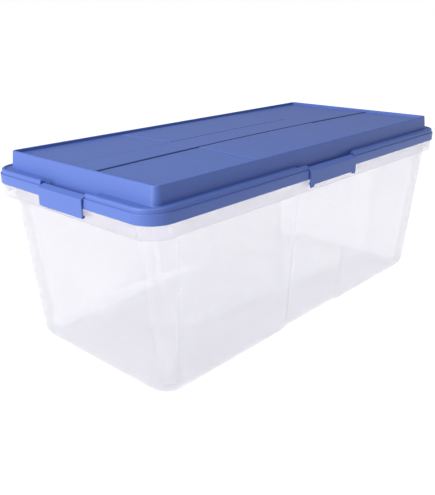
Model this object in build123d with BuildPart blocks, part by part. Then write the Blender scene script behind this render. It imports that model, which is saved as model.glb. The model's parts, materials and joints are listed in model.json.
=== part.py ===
from build123d import *
import os
from math import radians, tan

# Latching storage box: a drafted tub, a lift-off lid, and four latches hinged to the lid.
# Origin: bottom centre. +X runs along the length, +Y across, +Z up. Millimetres.

# ---- overall, over the lid's skirt -------------------------------------------------------
box_length = 800.0
box_width = 372.0
box_height = 322.0

# ---- lid ---------------------------------------------------------------------------------
lid_wall = 2.2
lid_corner_radius = 38.0
skirt_depth = 20.0           # skirt below the ledge
tier_height = 15.0           # skirt's outer face; above it the rim steps in
tier_step = 2.5
tier_round = 0.8
end_ledge = 23.3             # ledge from the raised top's foot to the skirt, short ends
side_ledge = 16.0            # the same on the long sides
bead_width = 8.0             # raised rim round the ledge, from the skirt's outer face
bead_height = 2.0
bead_round = 2.4
top_rise = 26.6              # raised top above the ledge
top_draft = 7.0              # degrees, sides of the raised top
top_corner_radius = 9.0      # at its upper edge
lip_width = 4.0              # stacking lip round the top panel
lip_depth = 5.5              # panel's edge below the lip
lip_round = 0.9
lip_bite = 0.6               # panel runs this far into the lip
spine_crown = 3.7            # arch of the panel's middle along the length
side_crown = 0.4             # arch of its long edges
spine_width = 61.0           # raised strip along the middle of the panel
spine_step = 1.2
field_length = 314.0         # raised middle field on each side of the spine
field_step = 0.9
field_spine_gap = 1.0
field_lip_gap = 2.0

# ---- latches -----------------------------------------------------------------------------
end_latch_half = 51.0        # half the width of a latch on a short end
side_latch_half = 67.0
latch_side_gap = 1.5         # latch to the notch wall
hinge_inset = 6.5            # hinge axis inside the skirt's outer face
barrel_radius = 3.5
barrel_drop = 2.0            # top of the barrel below the ledge
barrel_gap = 0.7             # barrel to the notch's inner face
pivot_radius = 2.0
pivot_clearance = 0.05       # radial running clearance
pivot_length = 4.5           # pivot inside its hole
pivot_end_gap = 1.0
plate_gap = 1.0              # plate to the lid's skirt
plate_thickness = 2.2
cover_fall = 0.3             # cover's front edge below the hinge axis
cover_round = 1.0
web_depth = 4.0              # where the cover runs into the plate, below the axis
hook_height = 3.8
hook_ease = 1.4              # chamfer on the hook's lower corner
hook_clearance = 0.7         # hook's tip to the tub's flange
hook_gap = 0.6               # hook below the catch ridge
hook_margin = 6.0            # catch ridge stops short of the latch's ends
tab_width = 9.5              # finger tabs below a long-side latch
tab_depth = 4.0
tab_round = 1.8

# ---- latch seats, sunk into the ledge ----------------------------------------------------
seat_clearance = 1.0         # barrel to the seat's floor
seat_margin = 4.0            # seat floor beyond each end of the latch
seat_ramp = 13.0             # how far each ramp runs beyond the floor

# ---- tub ---------------------------------------------------------------------------------
tub_wall = 2.2
floor_thickness = 2.6
end_draft = 4.7              # degrees
side_draft = 3.76
foot_corner_radius = 40.0
foot_round = 24.0            # rounding between the walls and the floor
shoulder_corner_radius = 44.0
wall_recess_half = 80.0      # shallow panel in each long wall
wall_recess_foot = 5.0       # its depth at the floor
wall_recess_top = 0.6        # and at the shoulder
flange_wall = 2.2
flange_gap = 0.5             # flange to the inside of the lid's skirt
flange_drop = 20.0           # flange below the lid's skirt
end_overhang = 12.8          # flange beyond the wall, short ends
side_overhang = 5.0
rim_gap = 0.4                # rim to the underside of the lid
end_catch_drop = 6.2         # catch ridge below the lid's skirt, short ends
side_catch_drop = 2.2
catch_height = 2.8
catch_depth = 2.0            # catch ridge proud of the flange

# ---- worked out --------------------------------------------------------------------------
ledge_z = box_height - top_rise
ledge_under_z = ledge_z - lid_wall
skirt_z = ledge_z - skirt_depth
tier_z = skirt_z + tier_height
bead_z = ledge_z + bead_height
hinge_z = ledge_z - barrel_drop - barrel_radius
seat_depth = barrel_drop + 2 * barrel_radius + seat_clearance
seat_z = ledge_z - seat_depth
seat_under_z = seat_z - lid_wall
rim_z = ledge_under_z - rim_gap
flange_top_z = tier_z - lid_wall - rim_gap
flange_z = skirt_z - flange_drop

top_slope = tan(radians(top_draft))
top_length = box_length - 2 * end_ledge - 2 * top_rise * top_slope
top_width = box_width - 2 * side_ledge - 2 * top_rise * top_slope
panel_z = box_height - lip_depth
panel_under_z = panel_z - lid_wall
panel_reach = top_length / 2 - lip_width + lip_bite
panel_side = top_width / 2 - lip_width + lip_bite

flange_inset = lid_wall + flange_gap
flange_length = box_length - 2 * flange_inset
flange_width = box_width - 2 * flange_inset
flange_radius = lid_corner_radius - flange_inset
shoulder_length = flange_length - 2 * end_overhang
shoulder_width = flange_width - 2 * side_overhang
foot_length = shoulder_length - 2 * flange_z * tan(radians(end_draft))
foot_width = shoulder_width - 2 * flange_z * tan(radians(side_draft))

notch_reach = hinge_inset + barrel_radius + barrel_gap   # notch's inner face, in from the skirt
catch_face = hinge_inset - flange_inset                  # flange's outer face, from the axis
plate_face = hinge_inset + plate_gap                     # plate's inner face, from the axis
past = 12.0                                              # how far a cutting tool overruns
up = Vector(0, 0, 1)


class Latch:
    """Where one latch sits: its outward direction, and the sizes of the lid and tub there."""

    def __init__(self, name, outward, skirt, ledge, half, catch_drop, has_tabs):
        self.name = name
        self.outward = Vector(*outward)
        self.skirt = skirt                               # skirt's outer face from the centre
        self.seat_start = skirt - ledge - past           # inside the raised top's wall
        self.half = half
        self.has_tabs = has_tabs
        self.catch_low = hinge_z - (skirt_z - catch_drop - catch_height)
        self.hook_top = self.catch_low + hook_gap        # both below the hinge axis
        self.plate_depth = self.hook_top + hook_height
        # section on the hinge axis: local x outward, local y up
        axis_point = self.outward * (skirt - hinge_inset) + up * hinge_z
        self.section = Plane(origin=axis_point, x_dir=self.outward, z_dir=self.outward.cross(up))

    def facing(self, distance):
        """Upright plane facing outward at a distance from the centre, local y as height."""
        origin = self.outward * distance
        return Plane(origin=origin, x_dir=up.cross(self.outward), z_dir=self.outward)


end_sizes = (box_length / 2, end_ledge, end_latch_half, end_catch_drop, False)
side_sizes = (box_width / 2, side_ledge, side_latch_half, side_catch_drop, True)
latches = [
    Latch("end_latch_left", (-1, 0, 0), *end_sizes),
    Latch("end_latch_right", (1, 0, 0), *end_sizes),
    Latch("side_latch_front", (0, -1, 0), *side_sizes),
    Latch("side_latch_back", (0, 1, 0), *side_sizes),
]


def rounded_block(length, width, radius, low, high, taper=0.0):
    """Upright block with rounded corners; a taper draws its sides in towards the top."""
    with BuildPart() as block:
        with BuildSketch(Plane.XY.offset(low)):
            RectangleRounded(length, width, radius)
        extrude(amount=high - low, taper=taper)
    return block.part


def latch_seats(growth, outer):
    """The four sunken seats as solids grown on every side, up to outer beyond the skirt."""
    top = bead_z + past
    with BuildPart() as seats:
        for latch in latches:
            floor_half = latch.half + seat_margin
            top_half = floor_half + seat_ramp * (top - seat_z) / seat_depth
            with BuildSketch(latch.facing(latch.seat_start)):
                Polygon(
                    (-floor_half, seat_z),
                    (floor_half, seat_z),
                    (top_half, top),
                    (-top_half, top),
                    align=None,
                )
                offset(amount=growth, kind=Kind.INTERSECTION)
            extrude(amount=latch.skirt + outer - latch.seat_start)
    return seats.part


def latch_notches():
    """Where the lid's rim is cut away for each latch's barrel and cover."""
    with BuildPart() as notches:
        for latch in latches:
            width = 2 * (latch.half + latch_side_gap)
            with BuildSketch(latch.facing(latch.skirt - notch_reach)):
                with Locations((0, seat_z)):
                    Rectangle(width, seat_depth + past, align=(Align.CENTER, Align.MIN))
            extrude(amount=notch_reach + past)
    return notches.part


def raised_top(inset, low, high):
    """The lid's drafted raised top between two heights, drawn in by a wall."""
    spread = (box_height - low) * top_slope - inset
    return rounded_block(top_length + 2 * spread, top_width + 2 * spread,
                         top_corner_radius + spread, low, high, top_draft)


def crowned_strip(reach, near, far, depth):
    """Strip of the lid's panel, arched along X, between two (y, end height, rise) profiles."""
    with BuildPart() as strip:
        for y, end, rise in (near, far):
            with BuildSketch(Plane((0, y, 0), x_dir=(1, 0, 0), z_dir=(0, -1, 0))):
                with BuildLine():
                    ThreePointArc((-reach, end), (0, end + rise), (reach, end))
                    Line((reach, end), (reach, end - depth))
                    ThreePointArc((reach, end - depth), (0, end + rise - depth), (-reach, end - depth))
                    Line((-reach, end - depth), (-reach, end))
                make_face()
        loft(ruled=True)
    return strip.part


def tub_form(inset, floor_z):
    """The tub's drafted body as a solid, drawn in by a wall and standing on floor_z."""
    share = floor_z / flange_z
    length = foot_length + (shoulder_length - foot_length) * share - 2 * inset
    width = foot_width + (shoulder_width - foot_width) * share - 2 * inset
    foot_y = foot_width / 2 - wall_recess_foot - inset
    shoulder_y = shoulder_width / 2 - wall_recess_top - inset
    with BuildPart() as form:
        with BuildSketch(Plane.XY.offset(floor_z)):
            RectangleRounded(length, width, foot_corner_radius - inset)
        with BuildSketch(Plane.XY.offset(flange_z)):
            RectangleRounded(
                shoulder_length - 2 * inset, shoulder_width - 2 * inset, shoulder_corner_radius - inset
            )
        loft(ruled=True)
        fillet(form.faces().sort_by(Axis.Z)[0].edges(), foot_round - inset)
        # shallow recess in each long wall, deepest at the floor
        with BuildSketch(Plane.YZ):
            Polygon(
                (foot_y, 0),
                (shoulder_y, flange_z),
                (shoulder_y + past, flange_z),
                (shoulder_y + past, 0),
                align=None,
            )
            mirror(about=Plane.YZ)
        extrude(amount=wall_recess_half + inset, both=True, mode=Mode.SUBTRACT)
    return form.part


# ---- spaces that the lid and the tub are hollowed by -------------------------------------
with BuildPart() as rim_pocket:
    add(rounded_block(box_length - 2 * lid_wall, box_width - 2 * lid_wall,
                      lid_corner_radius - lid_wall, skirt_z, tier_z - lid_wall))
    upper_inset = tier_step + lid_wall
    add(rounded_block(box_length - 2 * upper_inset, box_width - 2 * upper_inset,
                      lid_corner_radius - upper_inset, skirt_z, ledge_under_z))
    add(latch_seats(lid_wall, past), mode=Mode.SUBTRACT)

with BuildPart() as flange_pocket:
    add(rounded_block(flange_length - 2 * flange_wall, flange_width - 2 * flange_wall,
                      flange_radius - flange_wall, flange_z, flange_top_z - flange_wall))
    add(latch_seats(lid_wall + rim_gap + flange_wall, past), mode=Mode.SUBTRACT)

# ---- lid: stepped rim, ledge, raised top with a stacking lip, crowned panel --------------
with BuildPart() as lid:
    add(rounded_block(box_length, box_width, lid_corner_radius, skirt_z, tier_z))
    fillet(lid.faces().sort_by(Axis.Z)[-1].edges(), tier_round)
    add(rounded_block(box_length - 2 * tier_step, box_width - 2 * tier_step,
                      lid_corner_radius - tier_step, skirt_z, bead_z))
    fillet(lid.faces().sort_by(Axis.Z)[-1].edges(), bead_round)
    add(rounded_block(box_length - 2 * bead_width, box_width - 2 * bead_width,
                      lid_corner_radius - bead_width, ledge_z, bead_z + past), mode=Mode.SUBTRACT)
    add(latch_seats(0, -notch_reach), mode=Mode.SUBTRACT)
    add(latch_notches(), mode=Mode.SUBTRACT)
    add(raised_top(0, seat_under_z, box_height))
    add(rim_pocket.part, mode=Mode.SUBTRACT)
    add(rounded_block(top_length - 2 * lip_width, top_width - 2 * lip_width,
                      top_corner_radius - lip_width, panel_under_z, box_height), mode=Mode.SUBTRACT)
    fillet(lid.faces().filter_by(Plane.XY).sort_by(Axis.Z)[-1].edges(), lip_round)
    add(raised_top(lid_wall, seat_under_z, panel_under_z), mode=Mode.SUBTRACT)
    # each side of the panel slopes from the spine down to the lip, with a field raised on it
    spine_side = spine_width / 2
    fall = (field_length / 2 / panel_reach) ** 2     # share of the arch lost at a field's end
    for side in (-1, 1):
        add(crowned_strip(panel_reach,
                          (side * spine_side, panel_z, spine_crown),
                          (side * panel_side, panel_z, side_crown), lid_wall))
        add(crowned_strip(field_length / 2,
                          (side * (spine_side + field_spine_gap),
                           panel_z + field_step + spine_crown * (1 - fall), spine_crown * fall),
                          (side * (panel_side - lip_bite - field_lip_gap),
                           panel_z + field_step + side_crown * (1 - fall), side_crown * fall),
                          lid_wall))
    spine_z = panel_z + spine_step
    add(crowned_strip(panel_reach, (-spine_side, spine_z, spine_crown),
                      (spine_side, spine_z, spine_crown), lid_wall + spine_step))
    # pivot holes at both ends of each notch
    for latch in latches:
        for side in (-1, 1):
            with BuildSketch(latch.section.offset(side * (latch.half + latch_side_gap))):
                Circle(pivot_radius + pivot_clearance)
            extrude(amount=side * (pivot_length + pivot_end_gap), mode=Mode.SUBTRACT)
lid.part.label = "lid"

# ---- tub: drafted walls, floor, rim, hollow flange, catch ridges, dips under the seats ---
with BuildPart() as tub:
    add(rounded_block(flange_length, flange_width, flange_radius, flange_z, flange_top_z))
    add(flange_pocket.part, mode=Mode.SUBTRACT)
    add(tub_form(0, 0))
    add(rounded_block(shoulder_length, shoulder_width, shoulder_corner_radius, flange_z, rim_z))
    add(tub_form(tub_wall, floor_thickness), mode=Mode.SUBTRACT)
    add(rounded_block(shoulder_length - 2 * tub_wall, shoulder_width - 2 * tub_wall,
                      shoulder_corner_radius - tub_wall, flange_z, rim_z), mode=Mode.SUBTRACT)
    add(latch_seats(lid_wall + rim_gap, past), mode=Mode.SUBTRACT)
    for latch in latches:
        low = -latch.catch_low
        with BuildSketch(latch.section):
            Polygon(
                (catch_face - flange_wall / 2, low),
                (catch_face + catch_depth, low),
                (catch_face + catch_depth, low + catch_height / 2),
                (catch_face, low + catch_height),
                (catch_face - flange_wall / 2, low + catch_height),
                align=None,
            )
        extrude(amount=latch.half - hook_margin, both=True)
tub.part.label = "tub"

# ---- latches: barrel with end pivots, sloped cover, front plate, hook, finger tabs -------
hook_tip = catch_face + hook_clearance
plate_front = plate_face + plate_thickness
latch_parts = []
for latch in latches:
    with BuildPart() as latch_body:
        with BuildSketch(latch.section):
            Circle(barrel_radius)
            Polygon(
                (0, barrel_radius),
                (plate_front, -cover_fall),
                (plate_front, -latch.plate_depth),
                (hook_tip + hook_ease, -latch.plate_depth),
                (hook_tip, -latch.plate_depth + hook_ease),
                (hook_tip, -latch.hook_top),
                (plate_face, -latch.hook_top),
                (plate_face, -web_depth),
                (0, -barrel_radius / 2),
                align=None,
            )
        extrude(amount=latch.half, both=True)
        if latch.has_tabs:
            with BuildSketch(latch.facing(latch.skirt + plate_gap)):
                with Locations((0, hinge_z - latch.plate_depth + tab_round)):
                    with GridLocations(2 * latch.half - tab_width, 0, 2, 1):
                        Rectangle(tab_width, tab_depth + tab_round, align=(Align.CENTER, Align.MAX))
            extrude(amount=plate_thickness)
        across_plate = latch_body.edges().filter_by(Axis(latch.section.origin, latch.outward))
        plate_bottom = hinge_z - latch.plate_depth + tab_round
        fillet(across_plate.filter_by_position(Axis.Z, 0, plate_bottom), tab_round)
        along_plate = latch_body.edges().filter_by(Axis(latch.section.origin, latch.section.z_dir))
        cover_z = hinge_z - cover_fall
        fillet(along_plate.filter_by_position(Axis.Z, cover_z - 0.1, cover_z + 0.1), cover_round)
        with BuildSketch(latch.section):
            Circle(pivot_radius)
        extrude(amount=latch.half + latch_side_gap + pivot_length, both=True)
    latch_body.part.label = latch.name
    latch_parts.append(latch_body.part)

os.makedirs("parts", exist_ok=True)
export_step(lid.part, "parts/lid.step")
export_step(tub.part, "parts/tub.step")
for latch_part in latch_parts:
    export_step(latch_part, f"parts/{latch_part.label}.step")
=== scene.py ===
import json
from math import cos, pi, radians, sin, tan

import bmesh
import bpy
import numpy as np
from mathutils import Matrix, Vector

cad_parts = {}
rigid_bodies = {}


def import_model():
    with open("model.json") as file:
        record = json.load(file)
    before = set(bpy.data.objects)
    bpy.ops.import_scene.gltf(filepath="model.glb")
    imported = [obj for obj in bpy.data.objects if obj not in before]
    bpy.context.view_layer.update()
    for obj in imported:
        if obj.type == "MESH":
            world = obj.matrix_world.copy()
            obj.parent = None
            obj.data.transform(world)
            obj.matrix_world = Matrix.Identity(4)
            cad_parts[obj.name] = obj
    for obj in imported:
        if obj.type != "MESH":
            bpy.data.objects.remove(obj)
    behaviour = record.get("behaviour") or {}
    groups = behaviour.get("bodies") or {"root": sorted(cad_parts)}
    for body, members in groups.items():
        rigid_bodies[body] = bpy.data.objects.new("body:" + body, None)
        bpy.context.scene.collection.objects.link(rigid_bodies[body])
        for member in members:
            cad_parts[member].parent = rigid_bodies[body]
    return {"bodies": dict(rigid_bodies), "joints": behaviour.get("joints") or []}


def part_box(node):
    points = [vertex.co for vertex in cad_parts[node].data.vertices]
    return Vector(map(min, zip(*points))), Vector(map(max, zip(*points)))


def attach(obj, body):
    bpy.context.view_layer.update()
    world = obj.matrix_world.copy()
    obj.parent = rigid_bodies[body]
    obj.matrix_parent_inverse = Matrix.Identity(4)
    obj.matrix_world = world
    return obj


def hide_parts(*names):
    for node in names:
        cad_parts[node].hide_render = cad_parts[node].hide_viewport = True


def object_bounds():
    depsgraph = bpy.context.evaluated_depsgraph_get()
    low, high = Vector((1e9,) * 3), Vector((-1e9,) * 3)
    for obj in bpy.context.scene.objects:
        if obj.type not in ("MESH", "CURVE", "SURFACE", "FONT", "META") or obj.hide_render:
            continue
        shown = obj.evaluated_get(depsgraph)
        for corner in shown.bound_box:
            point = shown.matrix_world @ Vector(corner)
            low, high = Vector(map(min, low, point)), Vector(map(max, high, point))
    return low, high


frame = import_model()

scene = bpy.context.scene
cad_low, cad_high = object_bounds()

# Studio: a white paper sweep that glows a little, so the box stands on it without a hard shadow,
# with one broad soft light from the short left end and a weaker one overhead. The camera stands
# off the front left corner, a little above the lid, and looks down on it.


def put(name, data):
    """A new object at the origin of the scene."""
    thing = bpy.data.objects.new(name, data)
    scene.collection.objects.link(thing)
    return thing


camera_data = bpy.data.cameras.new("camera")
camera_data.sensor_width = 36.0
camera_data.lens = 46.04
camera_data.clip_start, camera_data.clip_end = 0.01, 50.0
camera = put("camera", camera_data)
heading, dip, lean = radians(42.414), radians(20.346), radians(0.304)
ahead = Vector((cos(heading) * cos(dip), sin(heading) * cos(dip), -sin(dip)))
camera.rotation_mode = "QUATERNION"
camera.rotation_quaternion = (ahead.to_track_quat("-Z", "Y").to_matrix()
                              @ Matrix.Rotation(-lean, 3, "Z")).to_quaternion()
camera.location = (-0.8792, -0.7317, 0.5215)
scene.camera = camera
scene.view_settings.view_transform = "Standard"
scene.view_settings.look = "None"


def soft_light(name, place, aim, width, height, power, colour):
    """A rectangular softbox at a place, turned to face a point."""
    data = bpy.data.lights.new(name, "AREA")
    data.shape = "RECTANGLE"
    data.size, data.size_y = width, height
    data.energy, data.color = power, colour
    light = put(name, data)
    light.location = place
    light.rotation_euler = (Vector(aim) - Vector(place)).to_track_quat("-Z", "Y").to_euler()


soft_light("left_softbox", (-2.6, 0.5, 1.1), (0, 0, 0.15), 2.0, 1.8, 90.0, (1.0, 0.99, 0.98))
soft_light("top_softbox", (-0.4, -0.2, 2.6), (0, 0, 0.3), 1.6, 1.6, 30.0, (1.0, 1.0, 1.0))

sky_on_surfaces = 0.34                        # looked at directly or through the tub, it is 1
paper_glow = 1.03
world = bpy.data.worlds.new("studio")
scene.world = world
world.use_nodes = True
sky = world.node_tree
seen = sky.nodes.new("ShaderNodeLightPath")
direct = sky.nodes.new("ShaderNodeMath")
direct.operation = "MAXIMUM"
sky.links.new(seen.outputs["Is Camera Ray"], direct.inputs[0])
sky.links.new(seen.outputs["Is Transmission Ray"], direct.inputs[1])
brightness = sky.nodes.new("ShaderNodeMapRange")
sky.links.new(direct.outputs[0], brightness.inputs["Value"])
brightness.inputs["To Min"].default_value = sky_on_surfaces
sky.links.new(brightness.outputs["Result"], sky.nodes["Background"].inputs["Strength"])
sky.nodes["Background"].inputs["Color"].default_value = (1.0, 1.0, 1.0, 1.0)

bpy.ops.mesh.primitive_plane_add(size=30.0, location=(0, 0, cad_low.z - 0.0002))
floor = bpy.context.object
floor.name = "paper_floor"
paper = bpy.data.materials.new("paper")
paper.use_nodes = True
paper_shader = paper.node_tree.nodes["Principled BSDF"]
paper_shader.inputs["Base Color"].default_value = (0.10, 0.10, 0.10, 1.0)
paper_shader.inputs["Roughness"].default_value = 0.9
paper_shader.inputs["Specular IOR Level"].default_value = 0.0
paper_shader.inputs["Emission Color"].default_value = (1.0, 1.0, 1.0, 1.0)
paper_shader.inputs["Emission Strength"].default_value = paper_glow
floor.data.materials.append(paper)

# Tub: clear, faintly milky polypropylene moulded in one shot. Every wall leans out towards the
# top, a big rounding runs into the floor, and each long wall has a shallow recess. Round the top
# is a hollow flange with a catch ridge for each latch, and the lid drops over it.


class Wire:
    """An output of a node. Python's arithmetic on it adds the Math nodes."""

    def __init__(self, wiring, socket):
        self.wiring, self.socket = wiring, socket

    def _math(self, operation, *values):
        node = self.wiring.tree.nodes.new("ShaderNodeMath")
        node.operation = operation
        for socket, value in zip(node.inputs, values):
            self.wiring.plug(socket, value)
        return Wire(self.wiring, node.outputs[0])

    def __add__(self, other): return self._math("ADD", self, other)
    def __radd__(self, other): return self._math("ADD", other, self)
    def __sub__(self, other): return self._math("SUBTRACT", self, other)
    def __rsub__(self, other): return self._math("SUBTRACT", other, self)
    def __mul__(self, other): return self._math("MULTIPLY", self, other)
    def __rmul__(self, other): return self._math("MULTIPLY", other, self)
    def __truediv__(self, other): return self._math("DIVIDE", self, other)
    def __abs__(self): return self._math("ABSOLUTE", self)
    def sign(self): return self._math("SIGN", self)
    def least(self, other): return self._math("MINIMUM", self, other)
    def most(self, other): return self._math("MAXIMUM", self, other)
    def below(self, other): return self._math("LESS_THAN", self, other)


class Wiring:
    """A node tree that is filled one node at a time."""

    def __init__(self, tree):
        self.tree = tree

    def plug(self, socket, value):
        """Links a wire to a socket, or sets the socket's own value."""
        if isinstance(value, Wire):
            self.tree.links.new(value.socket, socket)
        else:
            socket.default_value = value

    def add(self, kind, settings=None, values=None, out=0):
        """Adds a node: its settings first, then the values or links of its sockets."""
        node = self.tree.nodes.new(kind)
        for name, value in (settings or {}).items():
            if name == "stops":
                ramp = node.color_ramp
                while len(ramp.elements) < len(value):
                    ramp.elements.new(1.0)
                for stop, (place, colour) in zip(ramp.elements, value):
                    stop.position, stop.color = place, (*colour, 1.0)
            else:
                setattr(node, name, value)
        for name, value in (values or {}).items():
            self.plug(node.inputs[name], value)
        return Wire(self, node.outputs[out])

    def parts(self, vector):
        """The x, y and z of a vector wire."""
        node = self.tree.nodes.new("ShaderNodeSeparateXYZ")
        self.plug(node.inputs[0], vector)
        return [Wire(self, output) for output in node.outputs]


corner_steps = 14
on_a_corner = 9.0                             # the place given to a station on a corner's arc


def outline(run_x, run_y):
    """Stations round a rounded rectangle, anticlockwise from the front. Each has its corner's
    signs, the way it faces, its run along a straight side, its place there, 1 on a short end
    or 0 on a long side, and the extras that come with the place."""
    stations = []
    sides = [((0, -1), (1, 0), run_x), ((1, 0), (0, 1), run_y),
             ((0, 1), (-1, 0), run_x), ((-1, 0), (0, -1), run_y)]
    for facing, onward, runs in sides:
        f, o = np.array(facing, float), np.array(onward, float)
        for place, *extras in runs:
            stations.append((*f, *f, *(o * place), place, abs(f[0]), *extras))
        blank = [0.0] * (len(runs[0]) - 1)
        for step in range(corner_steps + 1):
            turn = step / corner_steps * pi / 2
            aim = f * cos(turn) + o * sin(turn)
            nearer = f if turn < pi / 4 else o
            stations.append((*(f + o), *aim, 0.0, 0.0, on_a_corner, abs(nearer[0]), *blank))
    return np.array(stations).T


def both_ways(places):
    """The same places on both sides of the middle, in order."""
    return sorted({-p for p in places} | set(places))


def soft_clamp(share, ease=0.12):
    """0 below 0 and 1 above 1, with the two corners rounded."""
    low = np.clip(share + ease, 0, 2 * ease) ** 2 / (4 * ease)
    high = np.clip(1 + ease - share, 0, 2 * ease) ** 2 / (4 * ease)
    return np.where(share < ease, low, np.where(share > 1 - ease, 1 - high, share))


end_half, side_half = 0.051, 0.067            # half the width of a latch, ends and long sides
seat_margin, seat_ramp, seat_sink = 0.004, 0.013, 0.010


def seat_drop(place, at_end, growth=0.0):
    """How far the ledge sinks under a latch at this place along a side."""
    floor_half = np.where(at_end > 0.5, end_half, side_half) + seat_margin + growth
    return seat_sink * soft_clamp((floor_half + seat_ramp - np.abs(place)) / seat_ramp)


lid_low, lid_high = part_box("lid")
tub_low, tub_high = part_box("tub")
foot_z, rim_z = tub_low.z, tub_high.z
lid_wall, ledge_drop = 0.0022, 0.0266         # the lid's wall, and its ledge below its top
skirt_gap, rim_gap = 0.0005, 0.0004           # lid to flange, and lid to rim
skirt_half = np.array([lid_high.x, lid_high.y])
flange_half = skirt_half - (lid_wall + skirt_gap)
overhang = np.array([0.0128, 0.005])          # flange beyond the wall
shoulder_half = flange_half - overhang
shoulder_drop, flange_rise = 0.020, 0.0124    # from the skirt's lower edge
shoulder_z = lid_low.z - shoulder_drop
tub_wall, tub_floor = 0.0022, 0.0026
foot_round = 0.024
foot_corner, shoulder_corner, flange_corner = 0.040, 0.044, 0.0353
end_lean, side_lean = radians(4.7), radians(3.76)
foot_half = shoulder_half - (shoulder_z - foot_z) * np.array([tan(end_lean), tan(side_lean)])
recess_half, recess_ease = 0.080, 0.0060
end_catch_drop, side_catch_drop, catch_margin = 0.009, 0.005, 0.006

tub_places_x = both_ways([0, 0.02, 0.04, 0.055, 0.0595, 0.061, 0.0625, 0.067, 0.0695, 0.071,
                          0.0725, 0.0745, 0.0760, 0.0775, 0.079, 0.0793, 0.080, 0.0807,
                          0.0812, 0.0818, 0.0822, 0.0828, 0.0834, 0.0842, 0.0853, 0.0865,
                          0.0876, 0.090, 0.12, 0.16, 0.2, 0.24, 0.28, 0.315])
tub_places_y = both_ways([0, 0.02, 0.038, 0.0435, 0.045, 0.0465, 0.0535, 0.055, 0.0565, 0.061,
                          0.0665, 0.068, 0.0695, 0.0745, 0.09, 0.113])
corner_x, corner_y, aim_x, aim_y, run_x, run_y, place, at_end = outline(
    [(p,) for p in tub_places_x], [(p,) for p in tub_places_y])
stations = len(place)
rim_dip = seat_drop(place, at_end, growth=0.0015)
rim_top = np.minimum(rim_z, lid_high.z - ledge_drop - rim_dip - (lid_wall + rim_gap))
flange_top = np.minimum(lid_low.z + flange_rise, rim_top - 0.0004)
catch_low = lid_low.z - np.where(at_end > 0.5, end_catch_drop, side_catch_drop)
catch_half = np.where(at_end > 0.5, end_half, side_half) - catch_margin
catch_here = (np.abs(place) < catch_half + 1e-6) * 1.0


def floor_rounding(radius, start_z, inset):
    """Rows (height, inset) of the quarter round from the floor up to the wall."""
    turns = [0, 8, 18, 29, 40, 51, 62, 73, 82, 90]
    return [(start_z + radius * (1 - cos(radians(t))), inset + radius * (1 - sin(radians(t))))
            for t in turns]


def shifted(spread, by):
    """A spread (x, y, corner) with the same amount added to each."""
    return [side + by for side in spread]


even = np.ones(stations)
out_x, out_y = overhang
inner_fall = flange_corner - shoulder_corner
hollow = out_x - tub_wall, out_y - tub_wall, inner_fall - tub_wall
lip = out_x, out_y, inner_fall
# each row: height, inset, the flange's spread (x, y, corner), and the catch ridge's stand
rows = []
for z, inset in floor_rounding(foot_round, foot_z, 0.0):
    rows.append((z * even, inset, 0, 0, 0, 0))
for share in (0.15, 0.35, 0.6, 0.85, 0.985):
    rows.append(((foot_z + share * (shoulder_z - foot_z)) * even, 0, 0, 0, 0, 0))
rows += [(shoulder_z * even, 0, 0, 0, 0, 0), ((shoulder_z + 0.0012) * even, 0, 0, 0, 0, 0)]
under = [(-0.0032, 0), (-0.0025, 0.0003), (-0.0022, 0.0010)]
for rise, spread in under:                    # up the wall to the underside of the flange
    rows.append((flange_top + rise, 0, spread, spread, spread, 0))
for rise, spread in reversed(under):          # and down the inside of its drop
    rows.append((flange_top + rise, 0, *shifted(hollow, -spread), 0))
rows += [((shoulder_z + 0.0006) * even, 0, *hollow, 0),
         ((shoulder_z + 0.0001) * even, 0, *shifted(hollow, 0.0003), 0),
         (shoulder_z * even, 0, *shifted(hollow, 0.0008), 0),
         (shoulder_z * even, 0, *shifted(lip, -0.0008), 0),
         ((shoulder_z + 0.0002) * even, 0, *shifted(lip, -0.0002), 0),
         ((shoulder_z + 0.0008) * even, 0, *lip, 0)]
for rise, stand in ((-0.0004, 0), (0.0, 0.0004), (0.00003, 0.0017), (0.0003, 0.0020),
                    (0.0012, 0.0020), (0.0016, 0.0017), (0.0027, 0.0002), (0.0031, 0)):
    rows.append((catch_low + rise, 0, *lip, stand))
rows += [(flange_top - 0.0010, 0, *lip, 0), (flange_top - 0.0003, 0, *shifted(lip, -0.0003), 0),
         (flange_top, 0, *shifted(lip, -0.0010), 0), (flange_top, 0, 0.0004, 0.0004, 0.0004, 0),
         (flange_top + 0.0001, 0, 0, 0, 0, 0), (rim_top - 0.0001, 0, 0, 0, 0, 0),
         (rim_top, 0.0003, 0, 0, 0, 0), (rim_top, tub_wall - 0.0008, 0, 0, 0, 0),
         (rim_top - 0.0002, tub_wall - 0.0002, 0, 0, 0, 0),
         (rim_top - 0.0008, tub_wall, 0, 0, 0, 0)]
for share in (1.0, 0.985, 0.85, 0.6, 0.35, 0.15):
    rows.append(((foot_z + share * (shoulder_z - foot_z)) * even, tub_wall, 0, 0, 0, 0))
for z, inset in reversed(floor_rounding(foot_round - tub_wall, foot_z + tub_floor, tub_wall)):
    rows.append((z * even, inset, 0, 0, 0, 0))


def strips(loops, around):
    """Four-sided faces between each loop of points and the next, right round."""
    return [(r * around + s, r * around + (s + 1) % around,
             (r + 1) * around + (s + 1) % around, (r + 1) * around + s)
            for r in range(loops - 1) for s in range(around)]


def blank_sheet(name, loops, around):
    """Loops joined into a closed skin, with every point still at the origin."""
    mesh = bpy.data.meshes.new(name)
    ends = [tuple(reversed(range(around))), tuple(range((loops - 1) * around, loops * around))]
    mesh.from_pydata([(0, 0, 0)] * (loops * around), [], strips(loops, around) + ends)
    return mesh


count = len(rows)
sheet = blank_sheet("tub_sheet", count, stations)


def keep(mesh, name, kind, values):
    """Stores one value or vector per vertex under a name."""
    attribute = mesh.attributes.new(name, kind, "POINT")
    attribute.data.foreach_set("value" if kind == "FLOAT" else "vector",
                               np.asarray(values, np.float32).ravel())


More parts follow.
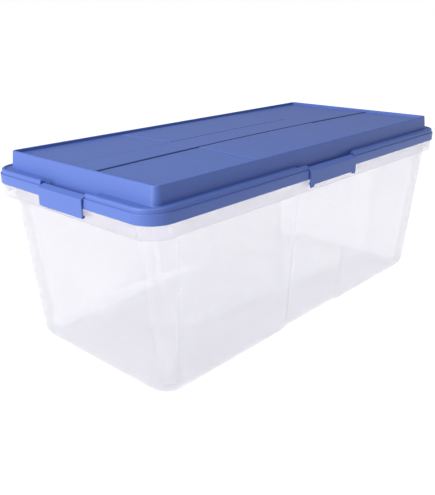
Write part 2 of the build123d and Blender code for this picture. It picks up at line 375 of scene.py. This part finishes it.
for name, x, y in (("corner", corner_x, corner_y), ("aim", aim_x, aim_y), ("run", run_x, run_y)):
    keep(sheet, name, "FLOAT_VECTOR", np.tile(np.column_stack([x, y, 0 * x]), (count, 1)))
keep(sheet, "spread", "FLOAT_VECTOR", np.concatenate(
    [np.column_stack([side + stand * catch_here for side in spread])
     for _, _, *spread, stand in rows]))
keep(sheet, "height", "FLOAT", np.concatenate([row[0] for row in rows]))
keep(sheet, "inset", "FLOAT", np.concatenate([row[1] * even for row in rows]))


def new_tree(name, sizes):
    """A Geometry Nodes tree with a shape going in, named sizes, a material and a shape out."""
    tree = bpy.data.node_groups.new(name, "GeometryNodeTree")
    tree.interface.new_socket("Geometry", in_out="INPUT", socket_type="NodeSocketGeometry")
    for size in sizes:
        tree.interface.new_socket(size, in_out="INPUT", socket_type="NodeSocketFloat")
    tree.interface.new_socket("Material", in_out="INPUT", socket_type="NodeSocketMaterial")
    tree.interface.new_socket("Geometry", in_out="OUTPUT", socket_type="NodeSocketGeometry")
    wiring = Wiring(tree)
    inputs = tree.nodes.new("NodeGroupInput")
    return wiring, {s.name: Wire(wiring, s) for s in inputs.outputs if s.name}


def finish_tree(wiring, shape, material):
    """Ends a tree in real, smooth-shaded geometry with its material."""
    shape = wiring.add("GeometryNodeRealizeInstances", None, {"Geometry": shape})
    shape = wiring.add("GeometryNodeSetShadeSmooth", None, {"Geometry": shape})
    shape = wiring.add("GeometryNodeSetMaterial", None, {"Geometry": shape, "Material": material})
    out = wiring.tree.nodes.new("NodeGroupOutput")
    wiring.plug(out.inputs[0], shape)


def plain_mesh(thing):
    """The mesh that an object has once its modifiers have run."""
    graph = bpy.context.evaluated_depsgraph_get()
    return bpy.data.meshes.new_from_object(thing.evaluated_get(graph))


def grow(name, mesh, wiring, values):
    """Runs a tree on a mesh and returns a new piece made of the plain result."""
    source = put(name + "_source", mesh)
    modifier = source.modifiers.new("shape", "NODES")
    modifier.node_group = wiring.tree
    for socket in wiring.tree.interface.items_tree:
        if socket.in_out == "INPUT" and socket.name in values:
            modifier[socket.identifier] = values[socket.name]
    made = plain_mesh(source)
    bpy.data.objects.remove(source)
    return put(name, made)


def seal(mesh, gap=2e-6):
    """Merges doubled points, drops faces with no area, and turns the normals out."""
    work = bmesh.new()
    work.from_mesh(mesh)
    bmesh.ops.remove_doubles(work, verts=work.verts, dist=gap)
    bmesh.ops.dissolve_degenerate(work, edges=work.edges, dist=gap / 2)
    bmesh.ops.recalc_face_normals(work, faces=work.faces)
    work.to_mesh(mesh)
    work.free()
    for face in mesh.polygons:
        face.use_smooth = True


tub_sizes = {
    "Foot Half Length": foot_half[0], "Foot Half Width": foot_half[1], "Foot Corner": foot_corner,
    "Shoulder Half Length": shoulder_half[0], "Shoulder Half Width": shoulder_half[1],
    "Shoulder Corner": shoulder_corner, "Foot Height": foot_z, "Shoulder Height": shoulder_z,
    "Recess Half": recess_half, "Recess Ease": recess_ease,
    "Recess At Foot": 0.005, "Recess At Shoulder": 0.0006,
}
w, size = new_tree("drafted tub", tub_sizes)
tub_tree = w


def stored(w, name, kind="FLOAT_VECTOR"):
    """What a mesh keeps for each vertex under a name."""
    return w.add("GeometryNodeInputNamedAttribute", {"data_type": kind}, {"Name": name})


height, inset = stored(w, "height", "FLOAT"), stored(w, "inset", "FLOAT")
wall_height = size["Shoulder Height"] - size["Foot Height"]
climb = ((height - size["Foot Height"]) / wall_height).least(1.0)


def leaning(foot, shoulder):
    """A size that changes evenly from the foot to the shoulder."""
    return size[foot] + (size[shoulder] - size[foot]) * climb


corner_sx, corner_sy, _ = w.parts(stored(w, "corner"))
face_x, face_y, _ = w.parts(stored(w, "aim"))
side_x, side_y, _ = w.parts(stored(w, "run"))
spread_x, spread_y, spread_round = w.parts(stored(w, "spread"))
half_length = leaning("Foot Half Length", "Shoulder Half Length") - inset + spread_x
half_width = leaning("Foot Half Width", "Shoulder Half Width") - inset + spread_y
corner_round = leaning("Foot Corner", "Shoulder Corner") - inset + spread_round
wall_x = corner_sx * (half_length - corner_round) + face_x * corner_round + side_x
wall_y = corner_sy * (half_width - corner_round) + face_y * corner_round + side_y
recess_depth = leaning("Recess At Foot", "Recess At Shoulder")
recess_y = leaning("Foot Half Width", "Shoulder Half Width") - recess_depth - inset
recess_end = size["Recess Half"] + inset + size["Recess Ease"]
edge = ((recess_end - abs(wall_x)) / (size["Recess Ease"] * 2.0)).most(0.0).least(1.0)
hair = 0.0001                                 # so that the shoulder's own row counts as wall
below_shoulder = height.below(size["Shoulder Height"] + hair)
edge = edge * edge * (3.0 - 2.0 * edge) * below_shoulder * spread_x.below(hair)
pressed = wall_y.sign() * (abs(wall_y) + edge * (abs(wall_y).least(recess_y) - abs(wall_y)))
place_on_wall = w.add("ShaderNodeCombineXYZ", None, {"X": wall_x, "Y": pressed, "Z": height})
shape = w.add("GeometryNodeSetPosition", None,
              {"Geometry": size["Geometry"], "Position": place_on_wall})
finish_tree(w, shape, size["Material"])


def plastic(name):
    """A new material, its wiring and its shader."""
    material = bpy.data.materials.new(name)
    material.use_nodes = True
    return material, Wiring(material.node_tree), material.node_tree.nodes["Principled BSDF"]


def grain(w, scale, detail=2.0, roughness=0.5, stretch=(1.0, 1.0, 1.0), shift=(0.0, 0.0, 0.0)):
    """Noise on the piece's own coordinates, in points per metre."""
    spot = w.add("ShaderNodeTexCoord", out=3)
    spot = w.add("ShaderNodeMapping", None, {"Vector": spot, "Scale": stretch, "Location": shift})
    return w.add("ShaderNodeTexNoise", None, {"Vector": spot, "Scale": scale, "Detail": detail,
                                             "Roughness": roughness})


def blend_colour(w, share, dark, light):
    """A colour between two, by a share from 0 to 1."""
    return w.add("ShaderNodeMix", {"data_type": "RGBA"},
                 {"Factor": share, 6: (*dark, 1.0), 7: (*light, 1.0)}, out=2)


def threshold(w, source, low, high, before=0.0, after=1.0):
    """One value up to low and another from high on, with an even change between."""
    stops = [(low, (before,) * 3), (high, (after,) * 3)]
    return w.add("ShaderNodeValToRGB", {"stops": stops}, {"Fac": source})


clear, w, shader = plastic("clear_polypropylene")
cloud = grain(w, 7.0, 3.0)
haze = grain(w, 60.0, 3.0, 0.6)
fine = grain(w, 1400.0, 2.0)
drawn = grain(w, 22.0, 2.0, 0.5, (1.0, 1.0, 0.12))           # faint streaks up the walls
scuffs = grain(w, 45.0, 4.0, 0.7, (1.0, 1.0, 14.0))          # rubbed where boxes slide past
rubbed = threshold(w, scuffs, 0.62, 0.74)
w.plug(shader.inputs["Base Color"],
       blend_colour(w, cloud, (0.934, 0.929, 0.960), (0.954, 0.949, 0.974)))
w.plug(shader.inputs["Roughness"], 0.16 + haze * 0.06 + drawn * 0.04 + rubbed * 0.10)
shader.inputs["Transmission Weight"].default_value = 1.0
polypropylene_index = 1.49
shader.inputs["IOR"].default_value = polypropylene_index
unevenness = fine * 0.6 + haze * 2.0 + drawn * 2.0 + rubbed * 0.6
relief = w.add("ShaderNodeBump", None,
               {"Strength": 0.04, "Distance": 0.0004, "Height": unevenness})
w.plug(shader.inputs["Normal"], relief)
milk = w.add("ShaderNodeBsdfDiffuse", None,
             {"Color": (0.90, 0.89, 0.97, 1.0), "Normal": relief})
glow = w.add("ShaderNodeBsdfTranslucent", None,
             {"Color": (0.93, 0.92, 0.98, 1.0), "Normal": relief})
cloudy = w.add("ShaderNodeMixShader", None, {0: 0.6, 1: milk, 2: glow})
straight = w.add("ShaderNodeBsdfTransparent", None, {"Color": (0.971, 0.968, 0.984, 1.0)})
straight_share = 0.58 - rubbed * 0.2
milky_share = 0.020 + cloud * 0.02 + rubbed * 0.04
body = w.add("ShaderNodeMixShader", None,
             {0: straight_share, 1: Wire(w, shader.outputs[0]), 2: straight})
surface = w.add("ShaderNodeMixShader", None, {0: milky_share, 1: body, 2: cloudy})
w.plug(w.tree.nodes["Material Output"].inputs["Surface"], surface)

tub_shell = grow("tub_shell", sheet, tub_tree, {**tub_sizes, "Material": clear})
seal(tub_shell.data)


def even_shading(piece):
    """Shades by the big faces, so that the narrow roundings between them look round."""
    piece.modifiers.new("shading", "WEIGHTED_NORMAL").weight = 100


even_shading(tub_shell)
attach(tub_shell, "tub")
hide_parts("tub")

# Lid: opaque blue polypropylene, moulded in one shot with satin sides. A skirt drops over the
# tub's flange, a beaded ledge sinks to a seat at each latch, and the raised top has a stacking
# lip round a crowned panel with a spine and two fields. It lifts straight off the tub.
skirt_corner, top_corner = 0.038, 0.009
skirt_z, top_z = lid_low.z, lid_high.z
ledge_z = top_z - ledge_drop
bead_z = ledge_z + 0.002
seat_floor_z = ledge_z - seat_sink
draft = tan(radians(7.0))
top_half = skirt_half - np.array([0.0233, 0.016]) - (top_z - ledge_z) * draft
notch_reach, notch_gap = 0.0107, 0.0015
panel_drop, lip_wide = 0.0055, 0.004          # the panel below the lip, and the lip's width
panel_z = top_z - panel_drop
panel_half = top_half - lip_wide
crown_reach = panel_half + 0.0006
spine_half, field_half = 0.0305, 0.157
field_edge = crown_reach[1] - 0.0026
crown_rise, crown_fall = 0.0037, 0.0033       # at the lid's middle, and from there to its sides
spine_rise, field_rise, groove_deep = 0.0012, 0.0009, 0.0014


def step_up(value, at, half=0.0004):
    """0 before a place and 1 after it, with an S between."""
    share = np.clip((value - at + half) / (2 * half), 0, 1)
    return share * share * (3 - 2 * share)


def panel_height(x, y):
    """The crowned panel: highest along the spine, with a field raised on each side."""
    arch = 1 - (x / crown_reach[0]) ** 2
    y = np.abs(y)
    across = np.clip((y - spine_half) / (crown_reach[1] - spine_half), 0, 1)
    spine = 1 - step_up(y, spine_half, 0.0005)
    field = (step_up(y, spine_half + 0.0022) * (1 - step_up(y, field_edge))
             * (1 - step_up(np.abs(x), field_half)))
    groove = step_up(y, spine_half + 0.0001) * (1 - step_up(y, spine_half + 0.0024))
    return (panel_z + arch * (crown_rise - crown_fall * across) + spine_rise * spine
            + field_rise * field - groove_deep * groove)


def rim_places(latch_half, plain):
    """Places along one side of the lid with (cut, shave, lift): whether the rim is cut away for
    the latch there, how much its edge is rounded off, and how much the notch's floor is lifted."""
    edge = latch_half + notch_gap
    right = [(edge - 0.0007, 1, 0, 0), (edge - 0.0002, 1, 0, 0.00018), (edge, 1, 0, 0.0006),
             (edge, 0, 0.0008, 0), (edge + 0.0002, 0, 0.00025, 0), (edge + 0.0008, 0, 0, 0)]
    left = [(-p, cut, shave, lift) for p, cut, shave, lift in reversed(right)]
    inside = [(p, 1, 0, 0) for p in plain if abs(p) < edge - 0.001]
    before = [(p, 0, 0, 0) for p in plain if p < -edge - 0.001]
    after = [(p, 0, 0, 0) for p in plain if p > edge + 0.001]
    return before + left + inside + right + after


lid_places_x = both_ways([0, 0.02, 0.04, 0.055, 0.0695, 0.071, 0.0725, 0.076, 0.080, 0.0825,
                          0.084, 0.0855, 0.1, 0.12, 0.14, 0.1564, 0.1568, 0.157, 0.1572,
                          0.1576, 0.18, 0.21, 0.24, 0.27, 0.3, 0.33, 0.35])
lid_places_y = both_ways([0, 0.015, 0.0299, 0.0301, 0.0303, 0.0306, 0.0308, 0.0310, 0.0316,
                          0.0322, 0.0324, 0.0327, 0.0330, 0.0332, 0.0345, 0.0400, 0.047,
                          0.0538, 0.055, 0.0565, 0.060, 0.064, 0.0665, 0.068, 0.0695, 0.08,
                          0.1, 0.12, 0.135])
(corner_x, corner_y, aim_x, aim_y, run_x, run_y, place, at_end, cut, shave, lift) = outline(
    rim_places(side_half, lid_places_x), rim_places(end_half, lid_places_y))
stations = len(place)
seat_z = ledge_z - seat_drop(place, at_end)
under_z = np.minimum(ledge_z, ledge_z - seat_drop(place, at_end, growth=0.001)) - lid_wall


def lid_ring(half_x, half_y, corner_round, z):
    """One loop of points round the lid."""
    x = corner_x * (half_x - corner_round) + aim_x * corner_round + run_x
    y = corner_y * (half_y - corner_round) + aim_y * corner_round + run_y
    return np.column_stack([x, y, z + 0 * x])


def rim_ring(reach, z):
    """A loop a distance in from the skirt's outer face."""
    return lid_ring(skirt_half[0] - reach, skirt_half[1] - reach, skirt_corner - reach, z)


def top_ring(reach, z):
    """A loop a distance in from the raised top's drafted wall, at a height."""
    spread = (top_z - z) * draft - reach
    return lid_ring(top_half[0] + spread, top_half[1] + spread, top_corner + spread, z)


def lip_ring(reach, lift):
    """A loop a distance in from the top's upper edge, lifted above the panel's surface."""
    ring = lid_ring(top_half[0] - reach, top_half[1] - reach, top_corner - reach, 0.0)
    ring[:, 2] = panel_height(ring[:, 0], ring[:, 1]) + lift
    return ring


# the rim's section: reach in from the skirt, height, the way it faces (in, up), and the reach
# and height above the seat's floor that it has where a latch's notch is cut
tier_z, tier_step, tier_round, bead_round = skirt_z + 0.015, 0.0025, 0.0008, 0.0024
rim_section = [(0.0, seat_floor_z + 0.0005, -1, 0, 0.0002, -0.0002),
               (0.0, tier_z - tier_round, -1, 0, 0.0008, 0)]
for start, top, radius, turns in ((0.0, tier_z, tier_round, (22.5, 45, 67.5, 90)),
                                  (tier_step, bead_z, bead_round, (0, 22.5, 45, 67.5, 90))):
    for turn in turns:
        c, s = cos(radians(turn)), sin(radians(turn))
        reach = start + radius * (1 - c)
        cut_reach = max(0.001 + reach * 0.2, reach)
        rim_section.append((reach, top - radius * (1 - s), -c, s, cut_reach, 0))
    if start == 0.0:
        rim_section += [(reach, z, face_in, face_up, reach, 0) for reach, z, face_in, face_up in (
            (0.0020, tier_z, 0, 1), (0.00235, tier_z + 0.0002, -0.5, 0.5),
            (tier_step, tier_z + 0.0006, -1, 0))]
rim_section += [(reach, z, face_in, face_up, reach, 0) for reach, z, face_in, face_up in (
    (0.0069, bead_z, 0, 1), (0.0076, bead_z - 0.0003, 0.3, 0.9),
    (0.00795, bead_z - 0.00095, 0.5, 0.8), (0.0081, ledge_z + 0.0005, 0.3, 0.9),
    (0.0085, ledge_z + 0.0001, 0, 1), (0.0092, ledge_z, 0, 1), (0.0101, ledge_z, 0, 1))]
outer = [rim_ring(0.0010, skirt_z), rim_ring(0.0003, skirt_z + 0.0001),
         rim_ring(0.0, skirt_z + 0.0008), rim_ring(0.0, seat_floor_z - 0.0010)]
for reach, z, face_in, face_up, cut_reach, cut_z in rim_section:
    whole_reach, whole_z = reach - face_in * shave, z - face_up * shave
    outer.append(rim_ring(np.where(cut > 0.5, cut_reach, whole_reach),
                          np.where(cut > 0.5, seat_floor_z + cut_z + lift, whole_z)))
ease = np.minimum(0.0006, (ledge_z - seat_z) / 2)
ledge_top = np.where(cut > 0.5, seat_floor_z + lift, ledge_z - shave)
ledge_ease = np.where(cut > 0.5, 0.0, ease)
outer += [rim_ring(notch_reach - 0.0002, ledge_top - ledge_ease * 0.25),
          rim_ring(notch_reach, ledge_top - ledge_ease),
          rim_ring(notch_reach, seat_z + ledge_ease),
          rim_ring(notch_reach + 0.0002, seat_z + ledge_ease * 0.25),
          rim_ring(notch_reach + 0.0007, seat_z),
          top_ring(-0.0012, seat_z), top_ring(-0.0004, seat_z + 0.0003),
          top_ring(0.0, seat_z + 0.0011), top_ring(0.0, ledge_z + 0.0015)]
top_round = 0.0017
for turn in (0, 22, 45, 68, 90):
    c, s = cos(radians(turn)), sin(radians(turn))
    outer.append(top_ring(top_round * (1 - c), top_z - top_round * (1 - s)))
for reach, fall in ((0.0031, 0), (0.00365, 0.00018), (0.0039, 0.0006), (lip_wide, 0.0010)):
    outer.append(lid_ring(top_half[0] - reach, top_half[1] - reach, top_corner - reach,
                          top_z - fall))
outer += [lip_ring(lip_wide, 0.0007), lip_ring(0.00412, 0.0002), lip_ring(0.0047, 0.0)]

panel_under = panel_z - lid_wall
tier_under = np.minimum(tier_z - lid_wall, under_z - 0.0004)
inner = [rim_ring(reach, z) for reach, z in (
    (0.0016, skirt_z), (0.0021, skirt_z + 0.0002), (lid_wall, skirt_z + 0.0008),
    (lid_wall, tier_under - 0.0010), (0.0025, tier_under - 0.0003), (0.0032, tier_under),
    (0.0045, tier_under), (0.0047, tier_under + 0.0002), (0.0047, under_z - 0.0002),
    (0.0050, under_z), (0.0105, under_z))]
inner += [top_ring(lid_wall + reach, z) for reach, z in (
    (-0.0010, under_z), (-0.0003, under_z + 0.0003), (0.0, under_z + 0.0010),
    (0.0, panel_under - 0.0008), (0.0002, panel_under - 0.0002))]
last = lid_ring(panel_half[0], panel_half[1], top_corner - lip_wide, 0.0)
last[:, 2] = panel_height(last[:, 0], last[:, 1]) - lid_wall
inner.append(last)


def same(value):
    """A coordinate rounded, so that places that should be equal are."""
    return round(float(value), 9)


def fill_panel(points, faces, ring_start, ring, drop):
    """Closes the space inside a loop with a grid over the panel, edged by the loop itself."""
    at = {}
    for i in range(stations):
        at.setdefault((same(ring[i, 0]), same(ring[i, 1])), ring_start + i)
    on_arc = place == on_a_corner
    arcs = [i for i in range(stations) if on_arc[i]]
    reach = np.abs(ring[:, :2]).max(0)

    def grid_lines(axis, sides):
        """The places of the stations along one pair of sides, from arc to arc."""
        ends = min(ring[i, axis] for i in arcs if abs(ring[i, 1 - axis]) > reach[1 - axis] - 1e-9)
        along = sorted({same(value) for value in ring[~on_arc & sides, axis]})
        return [same(ends)] + along + [-same(ends)]

    xs, ys = grid_lines(0, at_end < 0.5), grid_lines(1, at_end > 0.5)
    grid = {}
    for x in xs:
        for y in ys:
            grid[x, y] = len(points)
            points.append((x, y, float(panel_height(np.array(x), np.array(y))) - drop))
    for x0, x1 in zip(xs, xs[1:]):
        for y0, y1 in zip(ys, ys[1:]):
            faces.append((grid[x0, y0], grid[x1, y0], grid[x1, y1], grid[x0, y1]))
    far_x, far_y = same(reach[0]), same(reach[1])
    for sign in (-1, 1):
        for x0, x1 in zip(xs, xs[1:]):
            faces.append((grid[x0, ys[0] * -sign], grid[x1, ys[0] * -sign],
                          at[x1, far_y * sign], at[x0, far_y * sign]))
        for y0, y1 in zip(ys, ys[1:]):
            faces.append((grid[xs[0] * -sign, y0], grid[xs[0] * -sign, y1],
                          at[far_x * sign, y1], at[far_x * sign, y0]))
    for i, j in zip(arcs, arcs[1:]):
        if j == i + 1:
            side_x, side_y = np.sign(ring[i, :2] + ring[j, :2])
            centre = grid[xs[-1] * side_x, ys[-1] * side_y]
            faces.append((centre, ring_start + i, ring_start + j))


loops = list(reversed(outer)) + inner
points = [tuple(map(float, p)) for loop in loops for p in loop]
faces = strips(len(loops), stations)
fill_panel(points, faces, 0, loops[0], 0.0)
fill_panel(points, faces, (len(loops) - 1) * stations, loops[-1], lid_wall)
lid_mesh = bpy.data.meshes.new("lid_shell")
lid_mesh.from_pydata(points, [], faces)
seal(lid_mesh)
lid_shell = put("lid_shell", lid_mesh)

blue, w, shader = plastic("blue_polypropylene")
cloud = grain(w, 5.0, 3.0)
haze = grain(w, 90.0, 3.0, 0.6)
fine = grain(w, 2200.0, 2.0)
pores = w.add("ShaderNodeTexVoronoi", None,
              {"Vector": w.add("ShaderNodeTexCoord", out=3), "Scale": 900.0})
scratch = grain(w, 160.0, 5.0, 0.7, (0.06, 1.0, 1.0), (3.0, 1.0, 0.0))
scratched = threshold(w, scratch, 0.63, 0.70)
bend = w.add("ShaderNodeNewGeometry", out=7)                 # how sharply the surface turns
wear_and_edge_sheen = threshold(w, bend, 0.52, 0.62) * (0.25 + haze)        # edges painted paler: partly rub wear, partly a painted highlight along the rounded edges
hollow_shade = threshold(w, bend, 0.38, 0.48, 1.0, 0.0)             # painted shade darkening the hollows and inner creases
shader.inputs["IOR"].default_value = polypropylene_index
shader.inputs["Specular IOR Level"].default_value = 0.36


def tint(w, share, colour, over):
    """A colour laid over another, by a share from 0 to 1."""
    return w.add("ShaderNodeMix", {"data_type": "RGBA"},
                 {"Factor": share, 6: over, 7: (*colour, 1.0)}, out=2)


base = blend_colour(w, cloud, (0.071, 0.127, 0.405), (0.079, 0.138, 0.425))
# edges paled partly by rub wear and partly as a painted highlight; scratches paled by wear
base = tint(w, (wear_and_edge_sheen * 0.30 + scratched * 0.05).least(0.5), (0.15, 0.21, 0.52), base)
# painted shade along the spine's two edges and across the ends of the fields, standing in for the
# shade of the steps there
x, y, z = w.parts(w.add("ShaderNodeTexCoord", out=3))
panel_low, shade_half_x, shade_half_y = 0.314, 0.36, 0.152
seam_y, seam_half = 0.0309, 0.0026
cross_x, cross_shift, cross_half, cross_start = 0.1576, 0.001, 0.0010, 0.0325
on_panel = (panel_low - z).below(0.0) * abs(y).below(shade_half_y)
spine_edge_shade = abs(abs(y) - seam_y).below(seam_half)
field_end_shade = (abs(abs(x + cross_shift) - cross_x).below(cross_half)
              * (cross_start - abs(y)).below(0.0))
seam_shade_mask = (on_panel * abs(x).below(shade_half_x) * (spine_edge_shade + field_end_shade * 0.7).least(1.0)
           * (0.6 + haze))
# painted shade: the hollows and the spine's seams darkened towards a deep blue
base = tint(w, (hollow_shade * 0.45 + seam_shade_mask * 0.52).least(0.75), (0.030, 0.048, 0.150), base)
w.plug(shader.inputs["Base Color"], base)
w.plug(shader.inputs["Roughness"], 0.34 + haze * 0.12 + scratched * 0.08 - wear_and_edge_sheen * 0.06)
bump = w.add("ShaderNodeBump", None, {"Strength": 0.20, "Distance": 0.0002,
                                     "Height": fine + pores * 0.8 - scratched * 0.5})
w.plug(shader.inputs["Normal"], bump)
lid_mesh.materials.append(blue)

hinges = {}                 # latch: its axis, the way it faces, half its width, if it is on an end
for joint in frame["joints"]:
    if joint["child"] in frame["bodies"] and joint["child"] != "lid":
        spot = Vector(joint["pos_m"])
        on_end = abs(spot.x) > abs(spot.y)
        out = Vector((np.sign(spot.x), 0, 0)) if on_end else Vector((0, np.sign(spot.y), 0))
        hinges[joint["child"]] = spot, out, end_half if on_end else side_half, on_end

bore_middle = notch_gap + 0.00225             # beyond the end of the latch
ends = [(spot, out.cross((0, 0, 1)), sign * (half + bore_middle))
        for spot, out, half, _ in hinges.values() for sign in (-1, 1)]
points = bpy.data.meshes.new("pivot_ends")
points.from_pydata([spot + across * way for spot, across, way in ends], [], [])
keep(points, "across", "FLOAT_VECTOR", [across for _, across, _ in ends])
bore_sizes = {"Bore Radius": 0.00205, "Bore Length": 0.0065}
w, size = new_tree("pivot bores", bore_sizes)
bore = w.add("GeometryNodeMeshCylinder", None,
             {"Vertices": 32, "Radius": size["Bore Radius"], "Depth": size["Bore Length"]})
turned = w.add("FunctionNodeAlignRotationToVector", {"axis": "Z"}, {"Vector": stored(w, "across")})
bores = w.add("GeometryNodeInstanceOnPoints", None,
              {"Points": size["Geometry"], "Instance": bore, "Rotation": turned})
finish_tree(w, bores, size["Material"])
drill = grow("pivot_bores", points, w, {**bore_sizes, "Material": blue})
cut = lid_shell.modifiers.new("bores", "BOOLEAN")
cut.operation, cut.solver, cut.object = "DIFFERENCE", "EXACT", drill
bored = plain_mesh(lid_shell)
lid_shell.modifiers.clear()
lid_shell.data = bored
bpy.data.objects.remove(drill)
seal(bored, 1e-7)
even_shading(lid_shell)
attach(lid_shell, "lid")
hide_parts("lid")

# Latches: the same blue polypropylene, one moulding each. A barrel with a pivot at each end snaps
# into the lid's notch; a sloped cover runs out to a flat plate that hangs in front of the skirt,
# and a hook inside its foot sits under the tub's catch ridge. The long-side pair have finger tabs.
barrel, plate_near, plate_far, hook_tip = 0.0035, 0.0075, 0.0097, 0.0045
tab_wide, tab_deep, foot_ease = 0.0095, 0.004, 0.0018
end_depth, end_hook = 0.0279, 0.0241          # the plate's foot and the hook's top below the axis
side_depth, side_hook = 0.0239, 0.0201
hook_slope = 0.0014
under_barrel, over_barrel = (0.002461, -0.002488), (0.002378, 0.002568)


def rounded_corner(before, at, after, radius, steps=4):
    """Points of a corner's rounding, in order."""
    before, at, after = (np.array(p[:2], float) for p in (before, at, after))
    back = (before - at) / np.linalg.norm(before - at)
    on = (after - at) / np.linalg.norm(after - at)
    half_angle = np.arccos(np.clip(back @ on, -1, 1)) / 2
    centre = at + (back + on) / np.linalg.norm(back + on) * radius / sin(half_angle)
    start, end = at + back * radius / tan(half_angle), at + on * radius / tan(half_angle)
    first, last = start - centre, end - centre
    spread = np.arccos(np.clip(first @ last / radius ** 2, -1, 1))
    return [centre + (sin((1 - t) * spread) * first + sin(t * spread) * last) / sin(spread)
            for t in np.linspace(0, 1, steps + 1)]


# section round the hinge axis: outward, up, and whether the point hangs from the plate's foot,
# the hook's top or the tab's foot, with each corner's radius
depth, hook = end_depth, end_hook
corners = [(*under_barrel, 0, 0, 0, 0.0006), (plate_near, -0.004, 0, 0, 0, 0.0008),
           (plate_near, -hook, 0, 1, 0, 0.0003), (hook_tip, -hook, 0, 1, 0, 0.0003),
           (hook_tip, -depth + hook_slope, 1, 0, 0, 0.0003),
           (hook_tip + hook_slope, -depth, 1, 0, 0, 0.0003),
           (plate_near, -depth, 1, 0, 0, 0), (plate_near, -depth - tab_deep, 1, 0, 1, 0.0005),
           (plate_far, -depth - tab_deep, 1, 0, 1, 0.0007), (plate_far, -0.0003, 0, 0, 0, 0.0012),
           (*over_barrel, 0, 0, 0, 0)]
section = []
for i, (x, z, foot, top, tab, radius) in enumerate(corners):
    if radius and 0 < i:
        bend = rounded_corner(corners[i - 1], corners[i], corners[(i + 1) % len(corners)], radius)
    else:
        bend = [(x, z)]
    section += [(px, pz + foot * depth + top * hook + tab * tab_deep, foot, top, tab)
                for px, pz in bend]
start = np.arctan2(over_barrel[1], over_barrel[0])
end = 2 * pi + np.arctan2(under_barrel[1], under_barrel[0])
section += [(barrel * cos(a), barrel * sin(a), 0, 0, 0) for a in np.linspace(start, end, 26)[1:-1]]
section = np.array(section)
outward, upward, foot, top, tab = section.T
at_rest = np.column_stack([outward, upward - foot * depth - top * hook - tab * tab_deep])
along = np.roll(at_rest, -1, 0) - np.roll(at_rest, 1, 0)
facing = np.column_stack([along[:, 1], -along[:, 0]]) / np.linalg.norm(along, axis=1)[:, None]
if (at_rest[:, 0] * along[:, 1] - at_rest[:, 1] * along[:, 0]).sum() < 0:
    facing = -facing


def foot_rise(into):
    """How far the foot's rounded corner has risen, this far into the rounding."""
    return foot_ease - (foot_ease ** 2 - into ** 2) ** 0.5


# stations in from each end: distance, how far the section is drawn in there, the foot's rise
# and the tab's share
stops = [(o, drawn, foot_rise(max(foot_ease - o, 0)), 1.0)
         for o, drawn in ((0.0, 0.00035), (0.0001, 0.00012), (0.00035, 0.0), (0.0008, 0.0),
                          (0.0012, 0.0), (0.0018, 0.0), (0.0050, 0.0))]
for o in (0.0077, 0.0083, 0.0088, 0.0092, 0.00945):
    stops.append((o, 0.0, 0.0, 1.0 - foot_rise(o - tab_wide + foot_ease) / tab_deep))
stops += [(tab_wide, 0.0, 0.0, 0.55), (tab_wide + 0.00001, 0.0, 0.0, 0.0), (0.016, 0.0, 0.0, 0.0),
          (0.032, 0.0, 0.0, 0.0)]
stops = [(-1, *stop) for stop in stops] + [(1, *stop) for stop in reversed(stops)]
bar = blank_sheet("latch_bar", len(stops), len(section))
for name, values in (
        ("section", [(x, z, 0) for _ in stops for x, z in section[:, :2]]),
        ("facing", [(x, z, 0) for _ in stops for x, z in facing]),
        ("hangs", [tuple(v) for _ in stops for v in section[:, 2:]]),
        ("station", [(sign, back, drawn) for sign, back, drawn, _, _ in stops for _ in section]),
        ("foot", [(rise, share, 0) for _, _, _, rise, share in stops for _ in section])):
    keep(bar, name, "FLOAT_VECTOR", values)

latch_sizes = {"Half Width": side_half, "Plate Depth": side_depth, "Hook Top": side_hook,
               "Tab Depth": tab_deep, "Pivot Radius": 0.002, "Pivot Reach": 0.006,
               "Out X": 0.0, "Out Y": -1.0, "Axis X": 0.0, "Axis Y": 0.0, "Axis Z": 0.0}
w, size = new_tree("hinged latch", latch_sizes)
latch_tree = w
out, up, _ = w.parts(stored(w, "section"))
out_facing, up_facing, _ = w.parts(stored(w, "facing"))
on_foot, on_hook, on_tab = w.parts(stored(w, "hangs"))
end_sign, back, drawn = w.parts(stored(w, "station"))
rise, tab_share, _ = w.parts(stored(w, "foot"))
up = (up - on_foot * (size["Plate Depth"] - rise) - on_hook * size["Hook Top"]
      - on_tab * tab_share * size["Tab Depth"])
spot = w.add("ShaderNodeCombineXYZ", None, {
    "X": out - out_facing * drawn, "Y": end_sign * (size["Half Width"] - back),
    "Z": up - up_facing * drawn})
body = w.add("GeometryNodeSetPosition", None, {"Geometry": size["Geometry"], "Position": spot})
body = w.add("GeometryNodeMergeByDistance", None, {"Geometry": body, "Distance": 0.000002})
pin_long = (size["Half Width"] + size["Pivot Reach"]) * 2.0
pin = w.add("GeometryNodeMeshCylinder", None,
            {"Vertices": 32, "Radius": size["Pivot Radius"], "Depth": pin_long})
pin = w.add("GeometryNodeTransform", None, {"Geometry": pin, "Rotation": (pi / 2, 0, 0)})
body = w.add("GeometryNodeMeshBoolean", {"operation": "UNION"}, {1: body})
w.plug(w.tree.nodes[-1].inputs[1], pin)       # the union's one socket takes both shapes
way = w.add("ShaderNodeMath", {"operation": "ARCTAN2"}, {0: size["Out Y"], 1: size["Out X"]})
turn = w.add("ShaderNodeCombineXYZ", None, {"Z": way})
axis = w.add("ShaderNodeCombineXYZ", None,
             {"X": size["Axis X"], "Y": size["Axis Y"], "Z": size["Axis Z"]})
body = w.add("GeometryNodeTransform", None,
             {"Geometry": body, "Rotation": turn, "Translation": axis})
finish_tree(w, body, size["Material"])
for name, (spot, out, half, on_end) in hinges.items():
    latch = grow(name + "_moulding", bar, latch_tree, {
        **latch_sizes, "Material": blue, "Half Width": half,
        "Plate Depth": end_depth if on_end else side_depth,
        "Hook Top": end_hook if on_end else side_hook, "Tab Depth": 0.0 if on_end else tab_deep,
        "Out X": float(out.x), "Out Y": float(out.y),
        "Axis X": spot.x, "Axis Y": spot.y, "Axis Z": spot.z})
    seal(latch.data, 1e-6)
    even_shading(latch)
    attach(latch, name)
    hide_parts(name)
